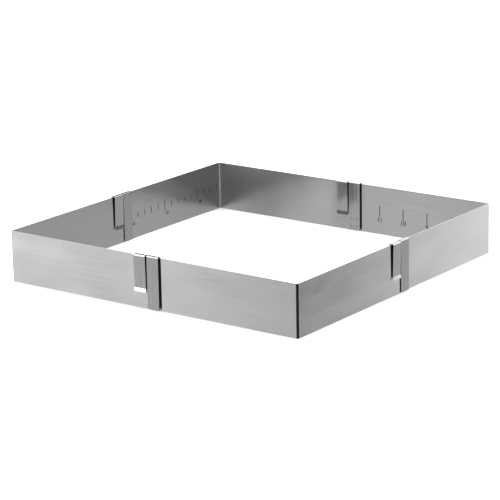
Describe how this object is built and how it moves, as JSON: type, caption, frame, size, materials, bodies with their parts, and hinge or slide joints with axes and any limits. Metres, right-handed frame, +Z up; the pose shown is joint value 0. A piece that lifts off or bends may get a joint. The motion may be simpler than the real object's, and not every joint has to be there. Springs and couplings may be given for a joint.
{
  "type": "adjustable cake frame",
  "caption": "Square bottomless baking frame of thin steel angles that slide past each other to set its size and are held by folded spring clips.",
  "frame": {"origin": "bottom centre of the frame at its largest setting, in the plane of the bottom edges", "axes": "+Z up, +X along the front wall to the right, +Y from the front wall to the back wall"},
  "size_m": [0.3034, 0.3034, 0.0456],
  "materials": {
    "wall_steel": "satin rolled stainless steel sheet with sheared edges",
    "spring_steel": "smooth bright stainless spring strip"
  },
  "bodies": {
    "front_left": {"front_left_corner_angle": "wall_steel", "front_left_outer_clip": "spring_steel", "front_left_inner_clip": "spring_steel"},
    "front_right": {"front_right_corner_angle": "wall_steel", "front_right_outer_clip": "spring_steel", "front_right_inner_clip": "spring_steel"},
    "back_right": {"back_right_corner_angle": "wall_steel", "back_right_outer_clip": "spring_steel", "back_right_inner_clip": "spring_steel"},
    "back_left": {"back_left_corner_angle": "wall_steel", "back_left_outer_clip": "spring_steel", "back_left_inner_clip": "spring_steel"}
  },
  "joints": [
    {"name": "width_slide", "type": "slide", "parent": "front_left", "child": "front_right", "axis": [1, 0, 0], "range_m": [-0.13, 0.0009]},
    {"name": "depth_slide", "type": "slide", "parent": "front_right", "child": "back_right", "axis": [0, 1, 0], "range_m": [-0.13, 0.0009]},
    {"name": "left_depth_slide", "type": "slide", "parent": "front_left", "child": "back_left", "axis": [0, 1, 0], "range_m": [-0.13, 0.0009]}
  ],
  "couplings": [
    {"joint": "left_depth_slide", "follows": "depth_slide", "ratio": 1}
  ]
}
